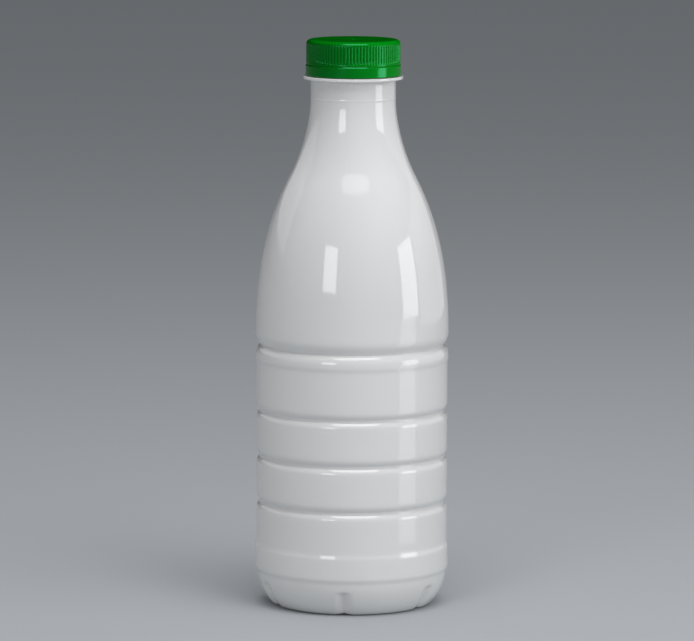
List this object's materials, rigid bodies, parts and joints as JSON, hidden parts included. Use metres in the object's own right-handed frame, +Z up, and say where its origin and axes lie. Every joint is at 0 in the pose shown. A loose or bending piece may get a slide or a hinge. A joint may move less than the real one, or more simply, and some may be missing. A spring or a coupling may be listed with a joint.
{
  "type": "plastic milk bottle",
  "caption": "Opaque white plastic drink bottle, round, with ring grooves round its body, a long sloping shoulder and a ribbed green screw cap above its tamper band.",
  "frame": {"origin": "centre of the standing ring, on the surface that the bottle stands on", "axes": "+Z up along the bottle's axis; -Y faces the viewer of the picture and +X is to the right"},
  "size_m": [0.083, 0.083, 0.2425],
  "materials": {
    "white_plastic": "glossy blow-moulded, opaque",
    "green_plastic": "satin gloss, injection-moulded"
  },
  "bodies": {
    "root": {"bottle": "white_plastic", "screw_cap": "green_plastic", "tamper_band": "green_plastic"}
  },
  "joints": []
}
